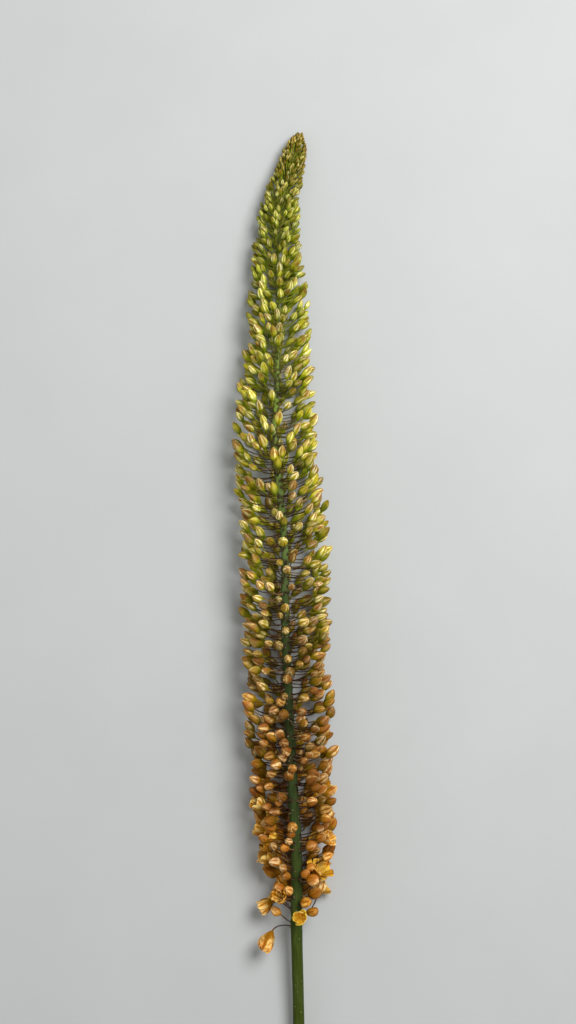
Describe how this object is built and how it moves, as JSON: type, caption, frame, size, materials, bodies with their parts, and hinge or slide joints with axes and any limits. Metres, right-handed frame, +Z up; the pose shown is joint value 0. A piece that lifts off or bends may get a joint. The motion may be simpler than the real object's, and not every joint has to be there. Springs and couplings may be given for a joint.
{
  "type": "foxtail lily flower spike",
  "caption": "Cut foxtail lily spike lying on its side: a slim tapering raceme of stalked buds, green at the tip and orange below, with a few open flowers above a bare green stem.",
  "frame": {"origin": "under the middle of the whole spike's box, on the surface it lies on", "axes": "+Y along the stem towards the flower tip, +Z up from the surface, +X to the right seen from above with the tip up"},
  "size_m": [0.0746, 0.7983, 0.0555],
  "materials": {
    "stem_green": "satin",
    "buds_green": "satin",
    "buds_bronze": "satin",
    "buds_orange": "satin"
  },
  "bodies": {
    "root": {"flower_stem": "stem_green", "raceme_lower": "buds_orange", "raceme_middle": "buds_bronze", "raceme_upper": "buds_green"}
  },
  "joints": []
}
